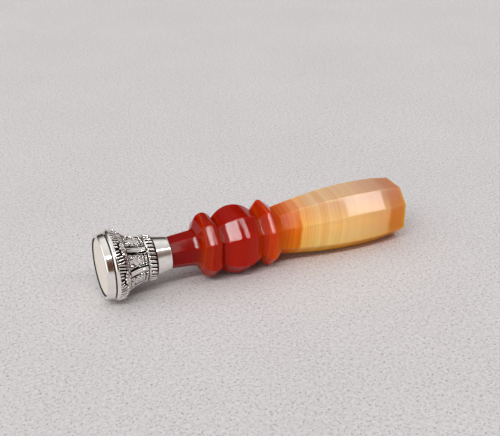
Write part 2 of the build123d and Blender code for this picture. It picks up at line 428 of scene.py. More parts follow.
@dataclass(frozen=True)
class BandedAgate:
    """Carnelian agate, lapped flat and polished: quartz with bands laid down as curved shells.

    The eye sees a glassy surface over a deep red neck, an amber waist and a milky, finely banded grip. Colour
    stops are shares of the way through the shells, from the distance at which they start to the end of their
    span.
    """

    name: str = "lapped_banded_agate"
    shell_centre_mm: Triple = (-6.0, 5.0, 4.0)
    start_mm: float = 20.0
    span_mm: float = 80.0
    cloud_mm: float = 7.0
    bend_mm: float = 1.6
    band_mm: float = 2.0
    thread_mm: float = 0.42
    broad_weight: float = 1.5
    swing_range: Pair = (0.85, 1.65)
    band_tint: Triple = (0.2, 0.6, 1.1)
    streak: str = "#C84A06"
    streak_range: Pair = (-0.05, 0.4)
    streak_most: float = 0.8
    # Over this height the top turns milkier and darker: partly milky stone, partly painted shade
    milk_and_shade_rise_mm: Pair = (1.8, 7.2)
    milk_and_shade_most: float = 0.85
    # Below this height the underside takes a painted glow for light that passes through the stone
    painted_glow_rise_mm: Pair = (-2.5, -6.5)
    scatter_mm: float = 15.0
    roughness: float = 0.045
    quartz_ior: float = 1.54
    gloss: float = 0.14
    body: Stops = (
        (0.05, "#7C0400"), (0.141, "#8C0600"), (0.191, "#A42800"), (0.229, "#A01200"), (0.291, "#AE1600"),
        (0.354, "#B01C00"), (0.395, "#C03600"), (0.436, "#CE5A00"), (0.483, "#DC7600"), (0.503, "#D87000"),
        (0.509, "#F4B04C"), (0.554, "#F4C678"), (0.666, "#F4CA84"), (0.745, "#EEC27E"), (0.79, "#EAB878"),
        (0.826, "#E2AC68"), (0.834, "#D0842C"), (0.90, "#C87A2C"))
    # Top colours: the stone's milky layer, darkened as painted shade
    milk_and_shade: Stops = (
        (0.0, "#780000"), (0.36, "#940A00"), (0.44, "#B03A04"), (0.5, "#CC8C64"), (0.56, "#C8A484"),
        (0.72, "#C6A48A"), (0.8, "#BA9480"), (0.9, "#A86E58"))
    # Underside colours: a painted orange glow
    painted_glow: Stops = (
        (0.0, "#840000"), (0.36, "#A40C00"), (0.44, "#D04800"), (0.5, "#F48800"), (0.56, "#FFAA1C"),
        (0.9, "#FF9614"))
    band_strength: Stops = (
        (0.0, "#606060"), (0.19, "#A0A0A0"), (0.26, "#707070"), (0.39, "#D0D0D0"), (0.48, "#FFFFFF"),
        (0.52, "#F0F0F0"), (0.62, "#989898"), (0.74, "#606060"), (1.0, "#606060"))
    streak_strength: Stops = (
        (0.14, "#000000"), (0.18, "#D0D0D0"), (0.21, "#C0C0C0"), (0.24, "#303030"), (0.33, "#505050"),
        (0.38, "#D0D0D0"), (0.47, "#000000"))
    light_reach: Stops = ((0.0, "#902018"), (0.36, "#A03020"), (0.5, "#FFB468"), (0.9, "#FFC080"))

    def material(self, axis: SealAxis) -> bpy.types.Material:
        """Builds the node material.

        The distance from the shells' centre, bent a little by noise, picks the colour along the stone and the
        bands.

        Args:
            axis: The seal's own axes, on which the centre of the shells is given.

        Returns:
            A polished, translucent stone.
        """
        material, tree, shader, place = new_material(self.name)
        centre = axis.place(np.array(self.shell_centre_mm)).tolist()
        distance = add_node(tree, "VectorMath", (place, centre), "Value", operation="DISTANCE")
        cloud = add_node(tree, "TexNoise", {
            "Vector": place, "Scale": 1 / (self.cloud_mm * MM), "Detail": 3.0}, "Fac")
        bent = add_node(tree, "Math", (cloud, self.bend_mm * MM, distance), operation="MULTIPLY_ADD")
        shell_range = (self.start_mm * MM, (self.start_mm + self.span_mm) * MM)
        along = add_node(tree, "MapRange", (bent, *shell_range))
        body, milk_and_shade, painted_glow, strength, red, reach = (
            add_node(tree, "ValToRGB", (along,), stops=stops)
            for stops in (self.body, self.milk_and_shade, self.painted_glow, self.band_strength, self.streak_strength,
                          self.light_reach))
        # The top turns greyer and darker, partly the stone's milky layer and partly painted shade where the
        # top is lit most, and the underside takes a painted orange glow for light that passes through
        level = add_node(tree, "VectorMath", (place, axis.rise.tolist()), "Value", operation="DOT_PRODUCT")
        middle = float(axis.origin @ axis.rise)
        milk_and_shade_range, painted_glow_range = ((middle + low * MM, middle + high * MM)
                                  for low, high in (self.milk_and_shade_rise_mm, self.painted_glow_rise_mm))
        # Share of the milky top colour with its painted shade, rising with height
        upper = add_node(tree, "MapRange", (level, *milk_and_shade_range, 0.0, self.milk_and_shade_most))
        # Share of the painted glow, rising towards the underside
        painted_glow_share = add_node(tree, "MapRange", (level, *painted_glow_range))
        body = add_node(tree, "Mix", {0: upper, 6: body, 7: milk_and_shade}, 2, data_type="RGBA")
        body = add_node(tree, "Mix", {0: painted_glow_share, 6: body, 7: painted_glow}, 2, data_type="RGBA")
        # Bands: thin threads on broad layers of the shells, strongest just past the amber waist
        layers = (add_node(tree, "Math", (bent, 1 / (thickness * MM)), operation="MULTIPLY")
                  for thickness in (self.band_mm, self.thread_mm))
        broad, threads = (
            add_node(tree, "TexNoise", {"W": layer, "Scale": 1.0, "Detail": detail}, "Fac",
                     noise_dimensions="1D") for layer, detail in zip(layers, (2.0, 1.0)))
        both = add_node(tree, "Math", (broad, self.broad_weight, threads), operation="MULTIPLY_ADD")
        swing = add_node(tree, "MapRange", (both, *self.swing_range, -0.5, 0.5))
        amount = add_node(tree, "Math", (swing, strength), operation="MULTIPLY")
        # A darker band loses more blue than red, so it turns amber, and a lighter one turns milky
        tint = add_node(tree, "VectorMath", {0: self.band_tint, 3: amount}, operation="SCALE")
        gain = add_node(tree, "VectorMath", (tint, (1.0, 1.0, 1.0)), operation="ADD")
        banded = add_node(tree, "VectorMath", (body, gain), operation="MULTIPLY")
        # Lighter bands of the red stone show as orange streaks
        lighter = add_node(tree, "MapRange", (swing, *self.streak_range, 0.0, self.streak_most))
        share = add_node(tree, "Math", (lighter, red), operation="MULTIPLY")
        colour = add_node(tree, "Mix", {0: share, 6: banded, 7: to_linear(self.streak)}, 2, data_type="RGBA")
        # Light goes a few millimetres into the red stone and right through the milky grip
        set_inputs(tree, shader, {
            "Base Color": colour,
            "Subsurface Radius": reach,
            "Subsurface Scale": self.scatter_mm * MM,
            "Subsurface Weight": 1.0,
            "Roughness": self.roughness,
            "IOR": self.quartz_ior,
            "Specular IOR Level": self.gloss})
        return material


@dataclass(frozen=True)
class DullFinish:
    """Dull finish of the seal face and of pieces inside the mount: silver, drawn brass or shellac cement.

    The eye sees a mottled surface without a mirror, darker in patches where dirt or oxide has settled.
    """

    name: str
    light: str
    dark: str
    metallic: float
    roughness: float
    mottle_mm: float
    pit_bump: float = 0.2
    pit_depth_mm: float = 0.1

    def material(self) -> bpy.types.Material:
        """Builds the node material, with noise that mixes the two colours and pits the surface.

        Returns:
            A dull, mottled material.
        """
        material, tree, shader, place = new_material(self.name)
        mottle = add_node(tree, "TexNoise", {
            "Vector": place, "Scale": 1 / (self.mottle_mm * MM), "Detail": 5.0}, "Fac")
        set_inputs(tree, shader, {
            "Base Color": add_node(tree, "Mix", {
                0: mottle, 6: to_linear(self.dark), 7: to_linear(self.light)}, 2, data_type="RGBA"),
            "Normal": add_node(tree, "Bump", {
                "Height": mottle, "Strength": self.pit_bump, "Distance": self.pit_depth_mm * MM}),
            "Metallic": self.metallic,
            "Roughness": self.roughness})
        return material


@dataclass(frozen=True)
class PaleCard:
    """Pale grey card under the seal: the eye sees matt paper with a fine, felted grain and dark specks."""

    name: str = "pale_card"
    light: str = "#DDDBDD"
    dark: str = "#BEBBBD"
    speck: str = "#8C8788"
    fibre_mm: float = 0.9
    fibre_range: Pair = (0.3, 0.85)
    fibre_bump: float = 0.6
    fibre_depth_mm: float = 0.4
    blotch_mm: float = 40.0
    blotch_weight: float = 0.15
    speck_mm: float = 0.6
    speck_range: Pair = (0.56, 0.7)
    speck_most: float = 0.8
    roughness: float = 0.95
    gloss: float = 0.15

    def material(self) -> bpy.types.Material:
        """Builds the node material, with fibre noise for colour and bump and a faint broad blotching.

        Returns:
            Matt, felted paper.
        """
        material, tree, shader, place = new_material(self.name)
        fibre = add_node(tree, "TexNoise", {
            "Vector": place, "Scale": 1 / (self.fibre_mm * MM), "Detail": 4.0, "Roughness": 0.65}, "Fac")
        blotch = add_node(tree, "TexNoise", {
            "Vector": place, "Scale": 1 / (self.blotch_mm * MM), "Detail": 2.0}, "Fac")
        both = add_node(tree, "Math", (blotch, self.blotch_weight, fibre), operation="MULTIPLY_ADD")
        share = add_node(tree, "MapRange", (both, *self.fibre_range))
        paper = add_node(tree, "Mix", {
            0: share, 6: to_linear(self.dark), 7: to_linear(self.light)}, 2, data_type="RGBA")
        grit = add_node(tree, "TexNoise", {
            "Vector": place, "Scale": 1 / (self.speck_mm * MM), "Detail": 2.0, "Roughness": 0.6}, "Fac")
        specks = add_node(tree, "MapRange", (grit, *self.speck_range, 0.0, self.speck_most))
        set_inputs(tree, shader, {
            "Base Color": add_node(tree, "Mix", {
                0: specks, 6: paper, 7: to_linear(self.speck)}, 2, data_type="RGBA"),
            "Normal": add_node(tree, "Bump", {
                "Height": fibre, "Strength": self.fibre_bump, "Distance": self.fibre_depth_mm * MM}),
            "Roughness": self.roughness,
            "Specular IOR Level": self.gloss})
        return material


@dataclass
class AgateHandle:
    """The lapped stone: a square section with canted corners, turned collars, a bulb and a swelling grip."""

    sides: int = 8
    narrow_facet_angle: float = 38.0
    corner_round: float = 0.028
    corner_points: int = 5
    flat_shares: tuple[float, ...] = (0.04, 0.2, 0.5, 0.8, 0.96)
    crease_round_mm: float = 0.10
    row_mm: float = 0.2
    fine_rows: int = 4
    curve_points: int = 120
    pole_radius: float = 0.06
    tenon_end: float = 12.0
    collar_mouth: float = 17.6
    neck_apothem: float = 3.66
    cove_apothem: float = 4.2
    cove_reach: float = 0.8
    first_crest: float = 28.1
    first_crest_apothem: float = 7.62
    first_crest_radius: float = 2.6
    first_angles: Pair = (60.0, 47.0)
    first_groove_apothem: float = 6.03
    bulb_crest: float = 36.1
    bulb_apothem: float = 8.15
    second_groove_apothem: float = 5.98
    second_crest: float = 44.3
    second_crest_apothem: float = 8.0
    second_crest_radius: float = 1.3
    second_angles: Pair = (43.0, 40.0)
    third_groove_apothem: float = 5.72
    waist_pull: Pair = (9.0, 1.35)
    swell_pull: Pair = (12.5, 0.85)
    grip_edge: float = 78.5
    grip_edge_apothem: float = 7.75
    table: float = 84.0
    table_apothem: float = 7.15
    hole_end: float = 21.9
    hole_radius: float = 1.7

    def ridge(self, crest: float, apothem: float, radius: float, angles: Pair, feet: Pair) -> list[Pair]:
        """Works out a lapped ridge: an arc at its crest and straight flanks at the given angles.

        Args:
            crest: Axial place of the crest.
            apothem: Apothem at the crest.
            radius: Radius of the arc.
            angles: Slopes of the front and back flank in degrees.
            feet: Apothems at which the flanks end.

        Returns:
            Front foot, front end of the arc, crest, back end of the arc and back foot.
        """
        front, back = (math.radians(a) for a in angles)
        middle = apothem - radius
        front_end = (crest - radius * math.sin(front), middle + radius * math.cos(front))
        back_end = (crest + radius * math.sin(back), middle + radius * math.cos(back))
        front_foot = (front_end[0] - (front_end[1] - feet[0]) / math.tan(front), feet[0])
        back_foot = (back_end[0] + (back_end[1] - feet[1]) / math.tan(back), feet[1])
        return [front_foot, front_end, (crest, apothem), back_end, back_foot]

    def outline(self) -> np.ndarray:
        """Outline from the bottom of the drilled hole, round the tenon, to the middle of the table.

        Returns:
            Axial place, apothem and roundness of each row. Roundness is 1 in the hole and 0 on the facets.
        """
        first = self.ridge(self.first_crest, self.first_crest_apothem, self.first_crest_radius,
                           self.first_angles, (self.cove_apothem, self.first_groove_apothem))
        second = self.ridge(self.second_crest, self.second_crest_apothem, self.second_crest_radius,
                            self.second_angles, (self.second_groove_apothem, self.third_groove_apothem))
        mouth = np.array([self.collar_mouth, self.neck_apothem])
        cove = np.array(first[0])
        before = cove - (cove - mouth) / np.linalg.norm(cove - mouth) * self.cove_reach
        flank = np.array(first[1]) - cove
        after = cove + flank / np.linalg.norm(flank) * self.cove_reach
        edge = (self.grip_edge, self.grip_edge_apothem)
        waist = (second[4][0] + self.waist_pull[0], second[4][1] + self.waist_pull[1])
        bulge = (edge[0] - self.swell_pull[0], edge[1] + self.swell_pull[1])
        count = self.curve_points
        bored = [(self.hole_end, self.pole_radius), (self.hole_end, self.hole_radius),
                 (self.tenon_end, self.hole_radius)]
        outside = np.concatenate([
            [(self.tenon_end, self.neck_apothem), tuple(mouth)],
            bezier([tuple(before), tuple(cove), tuple(after)], count),
            arc(first[1], first[2], first[3], count),
            arc(first[4], (self.bulb_crest, self.bulb_apothem), second[0], count),
            arc(second[1], second[2], second[3], count),
            bezier([second[4], waist, bulge, edge], count),
            [(self.table, self.table_apothem), (self.table, self.pole_radius)]])
        roundness = np.concatenate([np.ones(len(bored)), np.zeros(len(outside))])[:, None]
        line = np.concatenate([np.concatenate([bored, outside]), roundness], axis=1)
        fine = self.row_mm / self.fine_rows
        rows = even_steps(line, fine)
        reach = int(round(self.crease_round_mm / fine))
        soft = rows.copy()
        inner = slice(reach, len(rows) - reach)
        soft[inner] = blurred(blurred(rows, reach, 0), reach // 2, 0)[inner]
        # Rounding takes stone away from edges and never fills the grooves
        return np.where(soft[:, 1:2] > rows[:, 1:2], rows, soft)[::self.fine_rows]

    def section(self) -> np.ndarray:
        """Section with a wide apothem of 1: eight flats with a small arc at each corner.

        The centre of a corner's arc lies its radius inside both neighbouring flats, which gives two
        equations.

        Returns:
            Points as y and z, columns by 2.
        """
        narrow = math.radians(self.narrow_facet_angle)
        wide = math.pi / 2 - narrow
        rise = math.cos(narrow / 2) / math.cos(wide / 2)
        normals = ring_angles(self.sides)
        apothems = np.where(np.arange(self.sides) % 2 == 0, 1.0, rise)
        unit = np.stack([-np.cos(normals), np.sin(normals)], axis=1)
        pairs = np.stack([unit, np.roll(unit, -1, axis=0)], axis=1)
        heights = np.stack([apothems, np.roll(apothems, -1)], axis=1) - self.corner_round
        centres = np.linalg.solve(pairs, heights[:, :, None])[:, :, 0]
        turn = normals[:, None] + np.linspace(0, FULL_TURN / self.sides, self.corner_points)
        arcs = centres[:, None, :] + self.corner_round * np.stack([-np.cos(turn), np.sin(turn)], axis=2)
        start, end = arcs[:, -1], np.roll(arcs[:, 0], -1, axis=0)
        flats = start[:, None] + (end - start)[:, None] * np.array(self.flat_shares)[None, :, None]
        return np.concatenate([arcs, flats], axis=1).reshape(-1, 2)

    def build(self, axis: SealAxis) -> bpy.types.Object:
        """Carries the section along the outline: each point is the row's apothem times the section's.

        Args:
            axis: The seal's own axes.

        Returns:
            The dressed stone.
        """
        rows = self.outline()
        section = self.section()
        circle = section / np.linalg.norm(section, axis=1, keepdims=True)
        shape = section + (circle - section) * rows[:, 2][:, None, None]
        across = shape * rows[:, 1][:, None, None]
        place = np.broadcast_to(rows[:, 0][:, None, None], across.shape[:2] + (1,))
        piece = ring_mesh("agate_stone", axis, np.concatenate([place, across], axis=2), Ends.CAPS)
        return stand_for(piece, "agate_handle", BandedAgate().material(axis))


@dataclass
class SealMatrix:
    """Thick blank disc: a matt field, sunk a little in a polished rim, and a side that flares to the back."""

    face_radius: float = 7.8
    field_radius: float = 7.3
    field_depth: float = 0.25
    field_slope: float = 0.12
    field_rows: int = 24
    bevel: float = 0.45
    edge_round: float = 0.1
    back_radius: float = 8.55
    thickness: float = 1.8
    pole_radius: float = 0.04
    flat_steps: Steps = (4,)
    bevel_points: int = 9
    side_steps: Steps = (10, 2, 12)
    columns: int = 288
    metal: PolishedSilver = PolishedSilver("matrix_silver", wear=0.1)
    field_metal: DullFinish = DullFinish("rubbed_silver", "#FDF9F3", "#F0E8DC", 1.0, 0.62, 3.0)

    def build(self, axis: SealAxis) -> bpy.types.Object:
        """Turns the disc's outline about the axis and gives its field a matt metal of its own.

        Args:
            axis: The seal's own axes.

        Returns:
            The dressed disc.
        """
        rim = (self.bevel, self.face_radius + self.bevel)
        face_edge = (0.0, self.face_radius)
        field = polyline([(self.field_depth, self.pole_radius), (self.field_depth, self.field_radius)],
                         (self.field_rows,), closed=False)
        flat = polyline([(0.0, self.field_radius + self.field_slope), face_edge],
                        self.flat_steps, closed=False)[:-1]
        rounded = bezier([face_edge, (0.0, rim[1] - self.edge_round), rim], self.bevel_points)[:-1]
        side = polyline([rim, (self.thickness - self.edge_round, self.back_radius),
                         (self.thickness, self.back_radius - self.edge_round),
                         (self.thickness, self.pole_radius)], self.side_steps, closed=False)
        outline = np.concatenate([field, flat, rounded, side])
        points = turn_rings(outline, np.zeros((len(outline), self.columns)))
        # The rows at the sunk field's corner take the near-black hollow colour: a painted shade line along
        # the field's wall
        polish_and_shade = np.ones(points.shape[:2])
        polish_and_shade[len(field) - 1:len(field) + 1] = 0.0
        piece = ring_mesh("matrix_disc", axis, points, Ends.CAPS, polish_and_shade)
        stand_for(piece, "seal_matrix", self.metal.material())
        piece.data.materials.append(self.field_metal.material())
        # The field's faces are its rows, without the last one, and the first cap
        on_field = np.zeros(len(piece.data.polygons), dtype=np.int32)
        on_field[:(self.field_rows - 1) * self.columns] = 1
        on_field[-2] = 1
        piece.data.polygons.foreach_set("material_index", on_field)
        return piece


@dataclass
class NeckCollar:
    """Plain tapered ferrule with a burnished mouth."""

    foot: float = 13.4
    mouth: float = 17.6
    foot_radius: float = 5.217
    foot_round: float = 0.08
    mouth_radius: float = 4.427
    mouth_bore: float = 4.147
    lip_length: float = 0.12
    lip_rise: float = 0.02
    lip_round: float = 0.1
    tube_end: float = 14.6
    tube_radius: float = 4.667
    tube_bore: float = 4.267
    joint_shade: Pair = (0.05, 0.5)
    run_steps: Steps = (2, 2, 24, 3, 2, 4, 2, 3)
    columns: int = 240
    metal: PolishedSilver = PolishedSilver("plain_silver", wear=0.1)

    def build(self, axis: SealAxis) -> bpy.types.Object:
        """Turns the collar's closed outline about the axis.

        Args:
            axis: The seal's own axes.

        Returns:
            The dressed collar.
        """
        corners = [
            (self.foot, self.tube_radius), (self.foot, self.foot_radius - self.foot_round),
            (self.foot + self.foot_round, self.foot_radius),
            (self.mouth - self.lip_length, self.mouth_radius + self.lip_rise),
            (self.mouth, self.mouth_radius - self.lip_round), (self.mouth, self.mouth_bore),
            (self.tube_end, self.tube_bore), (self.tube_end, self.tube_radius)]
        outline = polyline(corners, self.run_steps, closed=True)
        points = turn_rings(outline, np.zeros((len(outline), self.columns)))
        polish_and_shade = ease(*self.joint_shade, outline[:, :1] - self.foot) * np.ones(self.columns)
        piece = ring_mesh("collar_ferrule", axis, points, Ends.LOOP, polish_and_shade)
        return stand_for(piece, "neck_collar", self.metal.material())


@dataclass
class ChasedRing:
    """What the chased pieces share: the seven-fold pattern and the way height turns into polish."""

    strap_count: int = 7
    first_strap_degrees: float = 54.0
    level_relief: float = 0.6
    level_tolerance: float = 0.04

    def from_strap(self, angle: np.ndarray) -> np.ndarray:
        """Angle from the nearest strap's middle: the angle less the nearest whole number of strap pitches.

        Args:
            angle: Angle round the axis in radians.

        Returns:
            Angle in radians, up to half a pitch on each side.
        """
        pitch = FULL_TURN / self.strap_count
        turned = (angle - math.radians(self.first_strap_degrees)) / pitch
        return (turned - np.round(turned)) * pitch

    def recess(self, height: np.ndarray, reach: int, depth: float) -> np.ndarray:
        """Relief for the finish: less than level in a hollow or below the ground, more on a height.

        Args:
            height: Height of each point in millimetres.
            reach: Number of neighbours that a point is compared with on each side.
            depth: Depth in millimetres that turns the finish from level to the limit.

        Returns:
            Relief from 0 to 1, rows by columns.
        """
        around = blurred(blurred(height, reach, 1), reach, 0)
        sunk = np.minimum(height + self.level_tolerance, 0)
        return np.clip(self.level_relief + (height - around) / depth + sunk / depth, 0, 1)


@dataclass
class LowerBorder(ChasedRing):
    """Ring round the bell's foot: a plain strip and a falling band of leaf gadroons with seven shells.

    Gadroon cuts are placed in shares of a gadroon, and other sizes are in millimetres and radians.
    """

    front: float = 2.1
    strip_back: float = 3.05
    back: float = 5.75
    radius: float = 9.1
    lip: float = 0.3
    edge_round: float = 0.08
    knee: Pair = (1.45, 0.28)
    tail_fall: float = 1.5
    seat_radius: float = 7.75
    seat_back: float = 5.2
    seat_end_radius: float = 7.32
    run_steps: Steps = (3, 2, 3, 8, 24, 26, 3, 3, 6)
    gadroons: int = 70
    columns_each: int = 12
    rib_cut: Stroke = Stroke(-0.45, 0.5, 0.4)
    rib_lean: float = 0.9
    rib_start: Pair = (0.1, 0.2)
    rib_end: Pair = (0.85, 0.97)
    shell_radius: float = 8.3
    shell_rise: float = 3.5
    shell_root: float = 0.2
    shell_reach: float = 2.1
    shell_lobes: int = 7
    shell_scallop: float = 0.15
    shell_edge: Pair = (-0.1, 0.1)
    shell_open: Pair = (0.95, 1.1)
    shell_lift: float = 0.1
    lobe_cut: Stroke = Stroke(-0.4, 0.0, 0.55)
    lobe_start: Pair = (0.2, 0.9)
    boss: Stroke = Stroke(0.1, 0.35, 0.35)
    moat_depth: float = 0.4
    moat_edge: Pair = (0.25, 0.5)
    moat_open: Pair = (1.1, 1.3)
    recess_reach: int = 5
    recess_depth: float = 0.16
    tail_shade: float = 0.9
    tail_range: Pair = (0.93, 1.0)

    def ribs(self, down: np.ndarray, angle: np.ndarray) -> np.ndarray:
        """Gadroons: round lobes parted by deep cuts, leaning away from the nearest shell, open at the strip.

        Args:
            down: Share of the way from the strip to the tail, rows by 1.
            angle: Angle round the axis.

        Returns:
            Height in millimetres.
        """
        phase = np.abs(self.from_strap(angle)) * self.gadroons / FULL_TURN + self.rib_lean * down
        envelope = ease(*self.rib_start, down) * (1 - ease(*self.rib_end, down))
        return self.rib_cut.at(np.abs(phase - np.round(phase))) * envelope

    def shells(self, down: np.ndarray, angle: np.ndarray) -> tuple[np.ndarray, np.ndarray]:
        """Shell below each strap: lobes that fan out from a point at the tail, with a moat round them.

        Args:
            down: Share of the way from the strip to the tail, rows by 1.
            angle: Angle round the axis.

        Returns:
            Height in millimetres and the share by which the shell takes the gadroons' place.
        """
        across = self.from_strap(angle) * self.shell_radius
        up = (1 - down) * self.shell_rise + self.shell_root
        turn = np.arctan2(across, up)
        distance = np.hypot(across, up)
        past = distance - self.shell_reach - self.shell_scallop * np.cos(turn * self.shell_lobes * 2)
        inside = (1 - ease(*self.shell_edge, past)) * (1 - ease(*self.shell_open, np.abs(turn)))
        share = (1 - ease(*self.moat_edge, past)) * (1 - ease(*self.moat_open, np.abs(turn)))
        cuts = self.lobe_cut.at(np.abs(np.cos(turn * self.shell_lobes))) * ease(*self.lobe_start, distance)
        height = self.shell_lift + cuts + self.boss.at(distance)
        return height * inside - self.moat_depth * (share - inside), share

    def build(self, axis: SealAxis) -> bpy.types.Object:
        """Turns the ring's closed outline and raises gadroons and shells on its band.

        Args:
            axis: The seal's own axes.

        Returns:
            The dressed ring.
        """
        lip_radius = self.radius - self.lip
        corners = [
            (self.front, self.seat_radius), (self.front, lip_radius - self.edge_round),
            (self.front + self.edge_round, lip_radius), (self.front + self.lip, self.radius - self.lip / 2),
            (self.strip_back, self.radius), (self.strip_back + self.knee[0], self.radius - self.knee[1]),
            (self.back, self.radius - self.tail_fall), (self.back, self.seat_end_radius),
            (self.seat_back, self.seat_radius)]
        outline = polyline(corners, self.run_steps, closed=True)
        travelled = np.cumsum(np.linalg.norm(np.diff(outline, axis=0, prepend=outline[:1]), axis=1))
        # The band runs from the lip's back edge over the strip and the knee to the tail
        start, end = sum(self.run_steps[:3]), sum(self.run_steps[:6])
        down = ((travelled - travelled[start]) / (travelled[end] - travelled[start]))[:, None]
        row = np.arange(len(outline))[:, None]
        on_band = (row >= start) & (row <= end)
        angle = ring_angles(self.gadroons * self.columns_each)[None, :]
        shell, share = self.shells(down, angle)
        height = np.where(on_band, self.ribs(down, angle) * (1 - share) + shell, 0)
        height = np.minimum(height, self.radius - outline[:, 1:])
        shade = self.tail_shade * ease(*self.tail_range, down) * on_band
        relief = self.recess(height, self.recess_reach, self.recess_depth) * (1 - shade)
        piece = ring_mesh("gadrooned_foot_ring", axis, turn_rings(outline, height), Ends.LOOP, relief)
        return stand_for(piece, "lower_border", PolishedSilver("chased_silver_foot").material())


@dataclass
class UpperBorder(ChasedRing):
    """Narrow ring of gadroons between the bell and the collar, with cuts placed in shares of a gadroon."""

    front: float = 11.1
    back: float = 13.4
    edge_radius: float = 5.517
    rim_radius: float = 6.0
    rim_slope: float = 0.5
    tube_radius: float = 4.667
    run_steps: Steps = (4, 8, 16, 8, 4, 4)
    gadroons: int = 35
    columns_each: int = 20
    rib_cut: Stroke = Stroke(-0.4, 0.5, 0.34)
    rib_lean: float = 0.5
    rib_rise: Pair = (-0.05, 0.2)
    rib_start: Pair = (0.1, 0.25)
    recess_reach: int = 5
    recess_depth: float = 0.2
    joint_shade: Pair = (0.86, 0.98)

    def build(self, axis: SealAxis) -> bpy.types.Object:
        """Turns the ring's closed outline and cuts the gadroons apart, leaning a little.

        Args:
            axis: The seal's own axes.

        Returns:
            The dressed ring.
        """
        corners = [
            (self.front, self.tube_radius), (self.front, self.edge_radius),
            (self.front + self.rim_slope, self.rim_radius), (self.back - self.rim_slope, self.rim_radius),
            (self.back, self.edge_radius), (self.back, self.tube_radius)]
        outline = polyline(corners, self.run_steps, closed=True)
        angle = ring_angles(self.gadroons * self.columns_each)[None, :]
        share = (outline[:, :1] - self.front) / (self.back - self.front)
        phase = angle * self.gadroons / FULL_TURN + self.rib_lean * share
        outer = ease(*self.rib_rise, outline[:, 1:] - self.edge_radius) * ease(*self.rib_start, share)
        height = self.rib_cut.at(np.abs(phase - np.round(phase))) * outer
        clean = 1 - ease(*self.joint_shade, share)
        relief = self.recess(height, self.recess_reach, self.recess_depth) * clean
        piece = ring_mesh("gadrooned_neck_ring", axis, turn_rings(outline, height), Ends.LOOP, relief)
        return stand_for(piece, "upper_border", PolishedSilver("chased_silver_ring").material())


